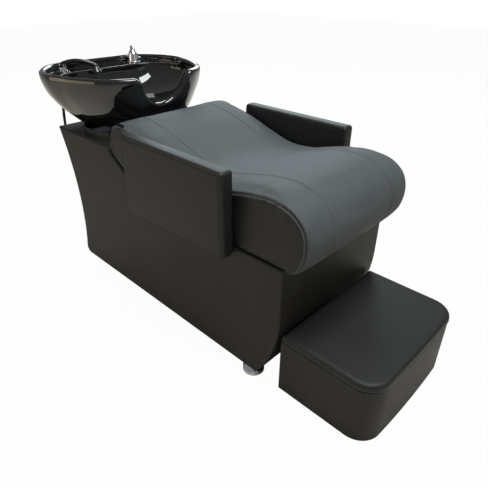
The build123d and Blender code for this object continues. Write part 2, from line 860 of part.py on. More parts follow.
def spray_holder():
    y = -fitting_y
    body = upright(holder_flange_r, deck_x, y, deck_z, deck_z + holder_flange_h)
    body += taper(holder_r, collar_r, deck_x, y, deck_z + holder_flange_h, holder_top_z)
    body += upright(shank_r, deck_x, y, under_deck_z - nut_h - cut_run, deck_z)
    return body - upright(holder_bore_r, deck_x, y, under_deck_z - nut_h - cut_run - cut_run,
                          holder_top_z + cut_run)


collar_low_z = holder_top_z + soft_gap
collar_high_z = collar_low_z + collar_h
plug_low_z = collar_low_z - plug_length


def handset_collar():
    y = -fitting_y
    body = upright(collar_r, deck_x, y, collar_low_z, collar_high_z)
    body += upright(plug_r, deck_x, y, plug_low_z, collar_low_z)
    return body - handset_neck()


def neck_point(reach, z):
    return Vector(deck_x, -fitting_y, z) + Vector(reach, 0, 0).rotate(Axis.Z, neck_turn)


head_top = neck_point(neck_reach, collar_high_z - neck_end_drop)
rose_top_z = head_top.Z - head_h + rose_t


def handset_neck():
    apex = neck_point(neck_reach * neck_apex_share, collar_high_z + neck_rise)
    arch = ThreePointArc(neck_point(0, collar_high_z), apex, head_top)
    neck = sweep(Plane(origin=arch @ 0, z_dir=arch % 0) * Circle(neck_r), path=arch)
    neck += upright(neck_r, deck_x, -fitting_y, collar_high_z - neck_socket, collar_high_z)
    neck += Pos(arch @ 0) * Sphere(neck_r)
    neck += Pos(arch @ 1) * Sphere(neck_r)
    return neck + taper(head_r, neck_r, head_top.X, head_top.Y, rose_top_z, head_top.Z)


def spray_rose():
    return upright(head_r, head_top.X, head_top.Y, rose_top_z - rose_t, rose_top_z)


# Hose
def hose_ferrule():
    low = plug_low_z - ferrule_length
    sleeve = upright(ferrule_r, deck_x, -fitting_y, low, plug_low_z)
    return sleeve - (upright(hose_r, deck_x, -fitting_y, low, low + hose_grip)
                     - upright(hose_bore_r, deck_x, -fitting_y, low, low + hose_grip))


def hose_route():
    start = Vector(deck_x, -fitting_y, plug_low_z - ferrule_length + hose_grip)
    end = Vector(deck_x, outlet_y, outlet_low_z)
    drop = Vector(0, 0, hose_drop)
    bends = [Vector(deck_x, fitting_y * out, deck_z * up) for out, up in hose_bend_shares]
    return [start, start - drop, *bends, end - drop, end]


def bend_radii(route):
    radii = []
    for before, corner, after in zip(route, route[1:], route[2:]):
        turn = (corner - before).get_angle(after - corner)
        shorter = min((corner - before).length, (after - corner).length)
        radii.append(bend_share * shorter / tan(radians(turn / 2)))
    return radii


def spray_hose():
    route = hose_route()
    radii = bend_radii(route)
    path = FilletPolyline(*route, radius=radii)
    section = Plane(origin=path @ 0, z_dir=path % 0) * (Circle(hose_r) - Circle(hose_bore_r))
    hose = sweep(section, path=path)
    print("hose radii", [round(radius) for radius in radii], "length", round(path.length))
    print("hose volume", round(hose.volume), "section by length", round(section.area * path.length))
    return hose


os.makedirs("parts", exist_ok=True)
save("side_panel_near", side_panel(-1))
save("side_panel_far", side_panel(1))
save("rear_panel", rear_panel())
save("rear_panel_screws", rear_screws())
save("batten_near", batten(-1))
save("batten_far", batten(1))
save("front_panel", front_panel())
save("basin_shelf", basin_shelf())
save("backrest_board", backrest_board())
save("seat_board", seat_board())
save("bulkhead", bulkhead())
save("rail_near", side_rail(-1))
save("rail_far", side_rail(1))
save("rail_rear", cross_rail(rail_rear_x))
save("rail_front", cross_rail(rail_front_x - rail_t - insert_side - rail_t))
save("foot_inserts", foot_inserts())
for place, (foot_x, foot_y) in foot_places().items():
    save(f"foot_cup_{place}", foot_cup(foot_x, foot_y))
    save(f"foot_stud_{place}", foot_stud(foot_x, foot_y))
whole_cushion = seat_cushion()
tab = corner_tab(whole_cushion)
save("seat_cushion", whole_cushion - tab)
save("corner_tab", tab)
save("armrest_near", armrest(-1))
save("armrest_far", armrest(1))
save("arm_bolts", arm_bolts())
save("footrest_walls", stool_walls())
save("footrest_bottom", stool_bottom())
save("footrest_top", stool_top())
save("footrest_glides", stool_glides())
save("basin_bowl", basin_bowl())
save("shelf_collar", shelf_collar())
save("pivot_bracket", pivot_bracket())
save("bracket_bolts", bracket_bolts())
save("tilt_axle", tilt_axle())
save("basin_cradle", basin_cradle())
save("cradle_pads", cradle_pads())
save("cradle_bolts", cradle_bolts())
save("waste_flange", waste_flange())
save("waste_nut", waste_nut())
save("waste_tail", waste_tail())
save("hair_strainer", hair_strainer())
save("mixer_ring", mixer_ring())
save("mixer_body", mixer_body())
save("deck_nuts", deck_nuts())
save("hot_tail", supply_tail(tails_turn))
save("cold_tail", supply_tail(-tails_turn))
save("hose_outlet", hose_outlet())
save("mixer_cap", mixer_cap())
save("lever_pin", lever_pin())
save("mixer_lever", mixer_lever())
save("spray_holder", spray_holder())
save("handset_collar", handset_collar())
save("handset_neck", handset_neck())
save("spray_rose", spray_rose())
save("hose_ferrule", hose_ferrule())
save("spray_hose", spray_hose())
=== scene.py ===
import json
import math
import bmesh
import bpy
import numpy as np
from mathutils import Matrix, Vector
from mathutils.bvhtree import BVHTree
from mathutils.kdtree import KDTree


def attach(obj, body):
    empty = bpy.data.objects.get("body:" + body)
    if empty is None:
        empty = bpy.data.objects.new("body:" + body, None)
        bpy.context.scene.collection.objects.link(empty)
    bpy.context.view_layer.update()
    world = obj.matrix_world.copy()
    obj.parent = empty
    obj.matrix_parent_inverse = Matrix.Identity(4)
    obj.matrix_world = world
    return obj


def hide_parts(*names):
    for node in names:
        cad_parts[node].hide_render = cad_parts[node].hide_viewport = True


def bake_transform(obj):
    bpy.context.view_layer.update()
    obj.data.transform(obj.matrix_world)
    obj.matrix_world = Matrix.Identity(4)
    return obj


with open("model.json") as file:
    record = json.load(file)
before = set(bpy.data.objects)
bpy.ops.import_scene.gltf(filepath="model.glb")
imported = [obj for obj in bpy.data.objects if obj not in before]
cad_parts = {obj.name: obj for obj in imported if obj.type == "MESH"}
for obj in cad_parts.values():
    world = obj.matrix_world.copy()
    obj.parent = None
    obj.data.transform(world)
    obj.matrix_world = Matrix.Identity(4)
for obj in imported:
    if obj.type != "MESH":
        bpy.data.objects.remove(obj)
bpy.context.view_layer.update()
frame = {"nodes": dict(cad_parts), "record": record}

# Metres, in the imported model's frame. The sizes below are measured from the drawing's origin,
# and place() takes them to the frame.
middle_x = 0.582


def place(x, y, z):
    """A place of the drawing in the frame."""
    return (x - middle_x, y, z)


# Case
seat_z = 0.460
shelf_z = 0.607
ramp = (0.266, 0.581)
shelf_front_x = 0.248
seat_rear_x = 0.457
case_front_x = 1.086

# Cushion
cushion_half = 0.259
cushion_rear_x = 0.270
nose_x = 1.164
cushion_top_z = 0.705
crown_line = [(0.000, 0.830), (0.012, 0.940), (0.050, 0.998), (0.120, 0.985), (0.240, 0.900), (0.355, 0.765),
              (0.470, 0.650), (0.580, 0.665), (0.675, 0.745), (0.770, 0.820), (0.860, 0.838), (0.935, 0.780),
              (0.984, 0.630), (1.000, 0.400), (0.990, 0.180), (0.968, 0.040)]
side_line = [(0.004, 0.800), (0.018, 0.915), (0.064, 0.965), (0.130, 0.935), (0.240, 0.845), (0.355, 0.710),
             (0.470, 0.605), (0.580, 0.620), (0.675, 0.690), (0.770, 0.768), (0.855, 0.800), (0.925, 0.752),
             (0.972, 0.620), (0.990, 0.430), (0.982, 0.200), (0.962, 0.060)]
crown = [(0.00, 1.00), (0.50, 0.98), (0.80, 0.85), (0.94, 0.48), (1.00, 0.00)]
inset_seam_y = 0.150
nose_under_share = 0.940
overhang_drop = 0.003
under_gap = 0.001
shelf_gap = 0.002
side_gap = 0.002

# Armrests
arm_inner_y = 0.2625
arm_outer_y = 0.3115
arm_corners = [(0.437, 0.703), (0.907, 0.703), (0.907, 0.438), (0.414, 0.417)]
arm_corner_r = 0.012
arm_belly = 0.0004
cover_gap = 0.0003

# Footrest
stool_back_x = 1.084
stool_front_x = 1.407
stool_half = 0.247
stool_h = 0.228
stool_seam_z = 0.202
stool_corner_r = 0.072
stool_back_r = 0.004
stool_bow = 0.004
stool_belly = 0.0016
stool_top_gap = 0.001

# Basin
basin_back_x = -0.243
basin_front_x = 0.283
basin_half = 0.313
rim_z = 0.828
deck_z = 0.800
rim_t = 0.022
rim_roll = 0.011
bowl_rear_x = -0.138
bowl_floor_z = 0.676
basin_low_z = 0.640
skin_t = 0.014
deck_x = -0.180
fitting_y = 0.169
waste_x = 0.075
waste_hole_r = 0.025
duct_low = (-0.224, -0.212, 0.630)
duct_high = (-0.152, 0.212, 0.784)
deck_hole_r = 0.017
deck_fall = 0.006
plan_step = 0.0055

# Spray hose
hose_d = 0.011


# Shader maths
class Value:
    """One socket of a material's nodes. A sum or product of two makes a new node."""

    def __init__(self, nodes, socket=None):
        self.nodes = nodes
        self.socket = socket

    def make(self, kind, settings=None, inputs=None, output=0):
        node = self.nodes.new(kind)
        for name, value in (settings or {}).items():
            setattr(node, name, value)
        for name, value in (inputs or {}).items():
            if isinstance(value, Value):
                self.nodes.id_data.links.new(value.socket, node.inputs[name])
            else:
                node.inputs[name].default_value = value
        return Value(self.nodes, node.outputs[output]) if len(node.outputs) else None

    def __add__(self, other):
        return self.make("ShaderNodeMath", {"operation": "ADD"}, {0: self, 1: other})

    def __mul__(self, other):
        return self.make("ShaderNodeMath", {"operation": "MULTIPLY"}, {0: self, 1: other})

    def between(self, low, high):
        return self.make("ShaderNodeMapRange", {"clamp": True}, {0: self, 1: low, 2: high, 3: 0.0, 4: 1.0})

    def mix(self, first, second):
        return self.make("ShaderNodeMix", {"data_type": "RGBA"}, {0: self, 6: (*first, 1), 7: (*second, 1)},
                         output=2)


def start_material(name):
    material = bpy.data.materials.new(name)
    material.use_nodes = True
    nodes = material.node_tree.nodes
    nodes.clear()
    return material, Value(nodes)


def finish_surface(start, colour, roughness, height, strength, depth, **constants):
    """Ends a material: its colour, roughness and bumps, and other inputs by name, with _ for a space."""
    relief = start.make("ShaderNodeBump", {}, {"Strength": strength, "Distance": depth, "Height": height})
    inputs = {"Roughness": roughness, "Base Color": colour, "Normal": relief}
    for name, value in constants.items():
        inputs[name.replace("_", " ")] = value
    surface = start.make("ShaderNodeBsdfPrincipled", {}, inputs)
    start.make("ShaderNodeOutputMaterial", {}, {"Surface": surface})


def rest_place(start):
    """Places on the piece itself, in metres, so that a finish rides along with it."""
    return start.make("ShaderNodeTexCoord", output=3)


def noise(start, where, scale, detail=2.0, roughness=0.5):
    return start.make("ShaderNodeTexNoise", {}, {"Vector": where, "Scale": scale, "Detail": detail,
                                                 "Roughness": roughness})


def leather(name, dark, pale, roughness, wrinkle=0.35, gloss=0.34):
    """Pebbled leather, its tone and gloss varying in soft patches."""
    material, start = start_material(name)
    where = rest_place(start)
    pebbles = start.make("ShaderNodeTexVoronoi", {"feature": "SMOOTH_F1"},
                         {"Vector": where, "Scale": 620.0, "Smoothness": 0.6})
    pores = noise(start, where, 1400.0, 3.0, 0.6)
    folds = noise(start, where, 26.0, 4.0, 0.55)
    patches = noise(start, where, 3.2, 3.0, 0.5)
    tone = patches.between(0.3, 0.7) * 0.7 + folds.between(0.35, 0.65) * 0.3
    colour = tone.mix(dark, pale)
    rough = patches.between(0.25, 0.75) * 0.08 + pores * 0.06 + (roughness - 0.07)
    height = pebbles * 0.55 + pores * 0.25 + folds * wrinkle
    finish_surface(start, colour, rough, height, 0.16, 0.0012, Specular_IOR_Level=gloss)
    return material


def glaze():
    material, start = start_material("black_glaze")
    where = rest_place(start)
    ripple = noise(start, where, 9.0, 2.0, 0.5)
    specks = noise(start, where, 240.0, 2.0, 0.5)
    colour = ripple.between(0.3, 0.7).mix((0.0045, 0.0045, 0.0052), (0.009, 0.009, 0.010))
    rough = specks.between(0.4, 0.9) * 0.03 + 0.045
    finish_surface(start, colour, rough, ripple, 0.05, 0.004, Specular_IOR_Level=0.62, Coat_Weight=0.6,
                   Coat_Roughness=0.02)
    return material


def plated(name, tint, roughness):
    material, start = start_material(name)
    where = rest_place(start)
    smear = noise(start, where, 60.0, 3.0, 0.6)
    fine = noise(start, where, 900.0, 2.0, 0.5)
    colour = smear.between(0.3, 0.8).mix(tint, tuple(0.86 * c for c in tint))
    rough = smear.between(0.4, 0.8) * 0.06 + fine * 0.02 + roughness
    finish_surface(start, colour, rough, fine, 0.03, 0.0004, Metallic=1.0)
    return material


def plastic(name, dark, pale, roughness, scale=380.0, strength=0.12):
    material, start = start_material(name)
    where = rest_place(start)
    grain = noise(start, where, scale, 3.0, 0.6)
    cloud = noise(start, where, 12.0, 2.0, 0.5)
    colour = cloud.between(0.3, 0.7).mix(dark, pale)
    rough = grain * 0.10 + cloud * 0.06 + (roughness - 0.08)
    finish_surface(start, colour, rough, grain, strength, 0.0006)
    return material


def plywood():
    material, start = start_material("bare_plywood")
    where = rest_place(start)
    stretched = start.make("ShaderNodeMapping", {}, {"Vector": where, "Scale": (4.0, 34.0, 34.0)})
    grain = noise(start, stretched, 3.0, 6.0, 0.65)
    streaks = noise(start, stretched, 14.0, 3.0, 0.6)
    tone = grain.between(0.3, 0.7) * 0.7 + streaks * 0.3
    colour = tone.mix((0.30, 0.19, 0.10), (0.56, 0.42, 0.26))
    finish_surface(start, colour, streaks * 0.2 + 0.55, grain, 0.25, 0.0008)
    return material


finishes = {
    "case_leather": leather("case_leather", (0.0132, 0.0118, 0.0096), (0.0188, 0.0170, 0.0140), 0.54),
    "seat_leather": leather("seat_leather", (0.0128, 0.0128, 0.0124), (0.0180, 0.0180, 0.0174), 0.50),
    "cover_leather": leather("cover_leather", (0.076, 0.086, 0.091), (0.092, 0.103, 0.108), 0.66, 0.25, 0.20),
    "black_basin": glaze(),
    "chrome": plated("bright_chrome", (0.84, 0.85, 0.87), 0.05),
    "black_plastic": plastic("gloss_black_plastic", (0.008, 0.008, 0.009), (0.014, 0.014, 0.015), 0.15, 500.0,
                             0.04),
    "matte_black": plastic("matte_black_plastic", (0.012, 0.012, 0.013), (0.020, 0.020, 0.021), 0.62),
    "board": plywood(),
    "steel": plated("zinc_plated_steel", (0.55, 0.56, 0.58), 0.32),
    "rubber": plastic("black_rubber", (0.010, 0.010, 0.010), (0.018, 0.018, 0.018), 0.72, 700.0, 0.2),
    "brass": plated("plain_brass", (0.70, 0.50, 0.22), 0.24),
}
# Stitch thread, paler than the arm and footrest leather: partly the thread's own tone, partly a painted
# highlight along the seams
stitch_yarn_and_highlight = plastic("stitch_yarn_with_painted_highlight", (0.060, 0.064, 0.068), (0.090, 0.095, 0.10), 0.6, 1500.0, 0.4)

for part in frame["record"]["subparts"]:
    node = frame["nodes"][part["node"]]
    node.data.materials.clear()
    node.data.materials.append(finishes[part["material_slot"]])


# Lines and forms
def smooth_line(points, steps):
    """The points with a smooth curve through them, steps places to each span."""
    p = np.array(points, float)
    q = np.vstack([2 * p[0] - p[1], p, 2 * p[-1] - p[-2]])
    t = (np.arange(steps) / steps)[:, None]
    spans = []
    for a, b, c, d in zip(q, q[1:], q[2:], q[3:]):
        spans.append(0.5 * (2 * b + (c - a) * t + (2 * a - 5 * b + 4 * c - d) * t**2
                            + (3 * b - a - 3 * c + d) * t**3))
    return np.vstack([*spans, p[-1:]])


def straight_line(points, spacing):
    """Places along straight runs through the points, about spacing apart."""
    p = np.array(points, float)
    line = []
    for a, b in zip(p, p[1:]):
        count = max(1, int(round(np.linalg.norm(b - a) / spacing)))
        line += [a + (b - a) * k / count for k in range(count)]
    return np.array([*line, p[-1]])


def even_line(line, spacing):
    """The line with its places moved to even spacing."""
    p = np.array(line, float)
    along = np.concatenate([[0], np.cumsum(np.linalg.norm(np.diff(p, axis=0), axis=1))])
    count = max(2, int(round(along[-1] / spacing)) + 1)
    at = np.linspace(0, along[-1], count)
    return np.column_stack([np.interp(at, along, p[:, k]) for k in range(p.shape[1])])


def new_piece(name, points, faces, finish, smooth=True):
    """A new object. Its finish is a material or the name of a slot."""
    mesh = bpy.data.meshes.new(name)
    mesh.from_pydata([tuple(p) for p in points], [], faces)
    mesh.validate()
    if smooth:
        mesh.shade_smooth()
    piece = bpy.data.objects.new(name, mesh)
    bpy.context.collection.objects.link(piece)
    mesh.materials.append(finishes[finish] if isinstance(finish, str) else finish)
    return piece


def strip_faces(rows, columns, close_rows=False):
    """Quads between closed rows of places. close_rows joins the last row to the first."""
    faces = []
    for i in range(rows if close_rows else rows - 1):
        for j in range(columns):
            a, b = (i * columns + j, i * columns + (j + 1) % columns)
            k = (i + 1) % rows * columns
            faces.append((a, b, k + (j + 1) % columns, k + j))
    return faces


def settled(piece):
    """The piece's mesh with its modifiers worked in, and none left on it."""
    bpy.context.view_layer.update()
    graph = bpy.context.evaluated_depsgraph_get()
    mesh = bpy.data.meshes.new_from_object(piece.evaluated_get(graph))
    piece.modifiers.clear()
    old = piece.data
    piece.data = mesh
    bpy.data.meshes.remove(old)
    return piece


def face_out(piece):
    """Turns the faces of a closed form outwards."""
    form = bmesh.new()
    form.from_mesh(piece.data)
    bmesh.ops.recalc_face_normals(form, faces=form.faces)
    form.to_mesh(piece.data)
    form.free()


def places(piece):
    """Where the piece's vertices lie."""
    return np.array([v.co for v in piece.data.vertices], float)


def normals(piece):
    """Which way the piece's surface faces at each vertex."""
    return np.array([v.normal for v in piece.data.vertices], float)


def move_to(piece, points):
    """Moves the piece's vertices."""
    piece.data.vertices.foreach_set("co", np.asarray(points, np.float32).ravel())
    piece.data.update()


fill_steps = 20


def stuffed(piece, voxel, rounding, cap, held, limits):
    """A closed form remeshed evenly, its edges eased, then filled under pressure no further than cap.
    It keeps between two planes across, limits."""
    face_out(piece)
    even = piece.modifiers.new("even", "REMESH")
    even.mode = "VOXEL"
    even.voxel_size = voxel
    ease = piece.modifiers.new("ease", "SMOOTH")
    ease.factor = 0.5
    ease.iterations = rounding
    settled(piece)
    start = places(piece)
    group = piece.vertex_groups.new(name="held")
    for index in np.nonzero(held(start))[0]:
        group.add([int(index)], 1.0, "REPLACE")
    cover = piece.modifiers.new("cover", "CLOTH")
    cover.settings.quality = 5
    cover.settings.mass = 0.4
    cover.settings.tension_stiffness = 25
    cover.settings.compression_stiffness = 25
    cover.settings.bending_stiffness = 6
    cover.settings.use_pressure = True
    cover.settings.uniform_pressure_force = 4
    cover.settings.effector_weights.gravity = 0
    cover.settings.vertex_group_mass = "held"
    cover.collision_settings.use_collision = False
    scene = bpy.context.scene
    for step in range(1, fill_steps + 1):
        scene.frame_set(step)
    settled(piece)
    scene.frame_set(1)
    moved = places(piece) - start
    far = np.linalg.norm(moved, axis=1, keepdims=True)
    filled = start + moved * np.minimum(1, cap / np.maximum(far, 1e-9))
    filled[:, 1] = np.clip(filled[:, 1], *limits)
    move_to(piece, filled)
    piece.vertex_groups.clear()
    calm = piece.modifiers.new("calm", "SMOOTH")
    calm.factor = 0.5
    calm.iterations = 4
    finer = piece.modifiers.new("finer", "SUBSURF")
    finer.levels = finer.render_levels = 1
    settled(piece)
    piece.data.shade_smooth()
    return piece


def onto(piece, line):
    """The line laid on the piece's surface, with the surface's directions there."""
    tree = BVHTree.FromObject(piece, bpy.context.evaluated_depsgraph_get())
    laid, out = [], []
    for point in line:
        spot, normal, _, _ = tree.find_nearest(Vector(point))
        laid.append(spot)
        out.append(normal)
    return np.array(laid), np.array(out)


ridge_reach = 2.2


def press_seam(piece, lines, depth, width, ridge):
    """Draws the cover in along the lines, with a low ridge on both sides."""
    tree = KDTree(sum(len(line) for line in lines))
    for index, point in enumerate(np.vstack(lines)):
        tree.insert(point, index)
    tree.balance()
    co, out = places(piece), normals(piece)
    far = np.array([tree.find(Vector(p))[2] for p in co])
    change = -depth * np.exp(-(far / width)**2) + ridge * np.exp(-((far - ridge_reach * width) / width)**2)
    move_to(piece, co + out * change[:, None])


stitch_pitch = 0.0065
stitch_length = 0.0042
stitch_r = 0.00055
stitch_sides = 5
# Place along the stitch, size and depth of its rings, as shares of its length and radius
stitch_rings = [(-0.5, 0.35, 0.8), (-0.3, 1.0, 0.1), (0.3, 1.0, 0.1), (0.5, 0.35, 0.8)]


def stitches(name, rows, body):
    """Every stitch of a seam as one piece. A row is a line on the cover and the cover's directions."""
    points, faces = [], []
    ring = [(math.cos(a), math.sin(a)) for a in np.arange(stitch_sides) * math.tau / stitch_sides]
    last = stitch_sides * (len(stitch_rings) - 1)
    for line, out in rows:
        spots = even_line(np.hstack([line, out]), stitch_pitch)
        for spot, after in zip(spots, spots[1:]):
            middle, up = (Vector(spot[:3]), Vector(spot[3:]).normalized())
            along = (Vector(after[:3]) - middle).normalized()
            side = up.cross(along).normalized()
            base = len(points)
            for at, size, sunk in stitch_rings:
                centre = middle + along * at * stitch_length - up * stitch_r * sunk
                points += [centre + (side * a + up * b) * stitch_r * size for a, b in ring]
            strip = strip_faces(len(stitch_rings), stitch_sides)
            faces += [tuple(base + k for k in face) for face in strip]
            faces.append(tuple(base + k for k in range(stitch_sides)))
            faces.append(tuple(base + last + k for k in range(stitch_sides))[::-1])
    piece = new_piece(name, points, faces, stitch_yarn_and_highlight)
    face_out(piece)
    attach(piece, body)
    return piece


def tube(name, line, radius, finish, sides):
    """A tube along close points, closed at both ends."""
    p = [Vector(point) for point in line]
    points, side = [], None
    count = len(p)
    for k, point in enumerate(p):
        along = (p[min(k + 1, count - 1)] - p[max(k - 1, 0)]).normalized()
        if side is None:
            side = along.orthogonal().normalized()
        side = (side - along * side.dot(along)).normalized()
        other = along.cross(side)
        points += [point + (side * math.cos(a) + other * math.sin(a)) * radius
                   for a in np.arange(sides) * math.tau / sides]
    faces = strip_faces(count, sides)
    faces += [tuple(range(sides))[::-1], tuple((count - 1) * sides + k for k in range(sides))]
    piece = new_piece(name, points, faces, finish)
    face_out(piece)
    return piece


# Camera: where the photograph was taken from
camera_place = (1.70268, -1.03844, 1.140)
lens_mm = 33.135
sensor_mm = 36.0
yaw, pitch, roll = (math.radians(44.33), math.radians(30.91), math.radians(0.09))
ahead = Vector((-math.sin(yaw) * math.cos(pitch), math.cos(yaw) * math.cos(pitch), -math.sin(pitch)))
level = Vector((math.cos(yaw), math.sin(yaw), 0))
upward = level.cross(ahead)
right = level * math.cos(roll) + upward * math.sin(roll)
above = upward * math.cos(roll) - level * math.sin(roll)
lens = bpy.data.cameras.new("camera")
lens.lens = lens_mm
lens.sensor_width = sensor_mm
camera = bpy.data.objects.new("camera", lens)
bpy.context.collection.objects.link(camera)
turn = Matrix((right, above, -ahead)).transposed().to_4x4()
camera.matrix_world = Matrix.Translation(place(*camera_place)) @ turn
bpy.context.scene.camera = camera


# Spray hose: the route of the drawing, smoothed by one spline
hose_route = [(-0.169, 0.7903), (-0.169, 0.7663), (-0.176, 0.728), (-0.198, 0.682), (-0.206, 0.610),
              (-0.208, 0.525), (-0.192, 0.425), (-0.148, 0.335), (-0.068, 0.278), (0.026, 0.268),
              (0.106, 0.312), (0.146, 0.390), (0.157, 0.485), (0.151, 0.580), (0.152, 0.655),
              (0.1595, 0.712), (0.1595, 0.736)]
hose_sides = 14
hose_step = 0.004
spline_steps = 10


def spline_points(route):
    """Close points along the smooth spline that a route's points steer."""
    curve = bpy.data.curves.new("route", "CURVE")
    curve.dimensions = "3D"
    spline = curve.splines.new("NURBS")
    spline.points.add(len(route) - 1)
    for point, at in zip(spline.points, route):
        point.co = (*at, 1)
    spline.order_u = 3
    spline.use_endpoint_u = True
    spline.resolution_u = spline_steps
    holder = bpy.data.objects.new("route", curve)
    bpy.context.collection.objects.link(holder)
    bpy.context.view_layer.update()
    mesh = bpy.data.meshes.new_from_object(holder.evaluated_get(bpy.context.evaluated_depsgraph_get()))
    line = np.array([v.co for v in mesh.vertices], float)
    bpy.data.objects.remove(holder)
    bpy.data.curves.remove(curve)
    bpy.data.meshes.remove(mesh)
    return line


hose_line = even_line(spline_points([place(deck_x, y, z) for y, z in hose_route]), hose_step)
hose = tube("spray_hose_tube", hose_line, hose_d / 2, "rubber", hose_sides)
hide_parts("spray_hose")
place(deck_x, 0.05, 0.5)
place(deck_x, -0.165, 0.5)
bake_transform(hose)


# Seat cushion
crown_steps = 5
cushion_voxel = 0.0065
cushion_rounding = 3
fill_cap = 0.005
held_above_board = 0.014
section_steps = 8
foot_spacing = 0.02
seam_steps = 12
seam_spacing = 0.005
seam_lift = 0.004
stitch_offset = 0.0042
# Depth, width and ridge of the seam round each side and of the one inside it
side_seam = (0.0030, 0.0032, 0.0012)
inset_seam = (0.0013, 0.0030, 0.0003)
# The darker side faces: how far in from the side they reach, and how upright they are at least
side_face_reach = 0.008
side_face_lean = 0.8


def cushion_places(shares):
    """Drawing places of a line given in shares of the cushion's length and height."""
    length, height = (nose_x - cushion_rear_x, cushion_top_z - seat_z)
    return [(cushion_rear_x + t * length, seat_z + h * height) for t, h in shares]


def section_line(risen):
    """The cushion's closed outline at a place across it, from its rear foot round over the top."""
    mixed = np.array(side_line) * (1 - risen) + np.array(crown_line) * risen
    top = smooth_line(cushion_places(mixed), section_steps)
    floor_z = seat_z + under_gap
    under_x = cushion_rear_x + nose_under_share * (nose_x - cushion_rear_x)
    foot = straight_line([(under_x, floor_z - overhang_drop), (case_front_x, floor_z), (seat_rear_x, floor_z),
                          (ramp[0] + under_gap, ramp[1] + under_gap),
                          (shelf_front_x + shelf_gap, shelf_z + under_gap)], foot_spacing)
    return np.vstack([top, foot])


def cushion_form():
    """The cushion as one closed form of sections, crowned across."""
    shares = smooth_line(crown, crown_steps)
    across = [(-s, r) for s, r in shares[::-1]] + [(s, r) for s, r in shares[1:]]
    points = []
    for share, risen in across:
        line = section_line(float(np.clip(risen, 0, 1)))
        points += [place(x, share * (cushion_half - side_gap), z) for x, z in line]
    count = len(points) // len(across)
    faces = strip_faces(len(across), count)
    faces += [tuple(range(count)), tuple((len(across) - 1) * count + k for k in range(count))[::-1]]
    return new_piece("padded_seat", points, faces, "seat_leather")


def rests_on_case(co):
    """Which places lie on the case's boards and are held there."""
    x = co[:, 0] + middle_x
    board = np.interp(x, [ramp[0], seat_rear_x, case_front_x], [ramp[1], seat_z, seat_z])
    return co[:, 2] < board + held_above_board


seat = stuffed(cushion_form(), cushion_voxel, cushion_rounding, fill_cap, rests_on_case,
               (-cushion_half, cushion_half))
edge_path = cushion_places(smooth_line(side_line, seam_steps))
crown_path = cushion_places(smooth_line(crown_line, seam_steps))
seam_rows, side_lines, top_lines = [], [], []
for side in (-1, 1):
    edge = [place(x, side * (cushion_half + side_gap), z - seam_lift) for x, z in edge_path]
    side_lines.append(onto(seat, even_line(edge, seam_spacing))[0])
    inset = [place(x, side * inset_seam_y, z + seam_lift) for x, z in crown_path]
    top_lines.append(onto(seat, even_line(inset, seam_spacing))[0])
press_seam(seat, side_lines, *side_seam)
press_seam(seat, top_lines, *inset_seam)
for line in side_lines + top_lines:
    for shift in (-stitch_offset, stitch_offset):
        laid, out = onto(seat, line)
        along = np.gradient(laid, axis=0)
        across = np.cross(out, along)
        across /= np.linalg.norm(across, axis=1, keepdims=True)
        laid, out = onto(seat, laid + across * shift)
        seam_rows.append((laid, out))
seat.data.materials.clear()
seat.data.materials.append(finishes["cover_leather"])
seat.data.materials.append(finishes["seat_leather"])
for face in seat.data.polygons:
    on_side = abs(face.center.y) > cushion_half - side_face_reach and abs(face.normal.y) > side_face_lean
    face.material_index = int(on_side)
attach(seat, "base")
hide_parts("seat_cushion")
stitches("seat_stitching", seam_rows, "base")


# Armrests and footrest top: closed forms crowned on their faces, with soft edges
corner_places = 9
edge_places = 40
least_bend = 0.0006
face_shares = [0.96, 0.88, 0.75, 0.55, 0.30]


def rounded_ring(corners, radii, inset):
    """Places round a polygon set in by inset, its corners rounded, the same count for every inset."""
    p = np.array(corners, float)
    arcs = []
    for before, corner, after, radius in zip(np.roll(p, 1, axis=0), p, np.roll(p, -1, axis=0), radii):
        back, on = (before - corner, after - corner)
        back, on = (back / np.linalg.norm(back), on / np.linalg.norm(on))
        half = math.acos(float(np.clip(back @ on, -1, 1))) / 2
        bisector = (back + on) / np.linalg.norm(back + on)
        moved = corner + bisector * inset / math.sin(half)
        bend = max(radius - inset, least_bend)
        centre = moved + bisector * bend / math.sin(half)
        start = moved + back * bend / math.tan(half) - centre
        end = moved + on * bend / math.tan(half) - centre
        arc = []
        for t in np.linspace(0, 1, corner_places):
            turn = start * (1 - t) + end * t
            arc.append(centre + turn / np.linalg.norm(turn) * bend)
        arcs.append(arc)
    ring = []
    for arc, following in zip(arcs, arcs[1:] + arcs[:1]):
        ring += arc
        ring += [arc[-1] + (following[0] - arc[-1]) * k / edge_places for k in range(1, edge_places)]
    return np.array(ring)


def face_rings(ring_at, profile, belly):
    """Flat places and depths of one face's rings, from its outer edge to its middle."""
    rings = [(ring_at(inset), depth) for inset, depth in profile]
    last = rings[-1][0]
    middle = last.mean(axis=0)
    for share in face_shares:
        rings.append((middle + (last - middle) * share, profile[-1][1] - belly * (1 - share**2)))
    return rings


def crowned_form(name, ring_at, faces_at, profiles, bellies, to_place):
    """A closed form between two faces, low and high, along the axis that to_place puts them on."""
    low, high = faces_at
    sign = 1 if high > low else -1
    lower = [(flat, low + sign * depth) for flat, depth in face_rings(ring_at, profiles[0], bellies[0])]
    upper = [(flat, high - sign * depth) for flat, depth in face_rings(ring_at, profiles[1], bellies[1])]
    rings = [[to_place(a, b, level) for a, b in flat] for flat, level in lower[::-1] + upper]
    count = len(rings[0])
    faces = strip_faces(len(rings), count)
    faces += [tuple(range(count)), tuple((len(rings) - 1) * count + k for k in range(count))[::-1]]
    piece = new_piece(name, [p for ring in rings for p in ring], faces, "seat_leather")
    face_out(piece)
    return piece


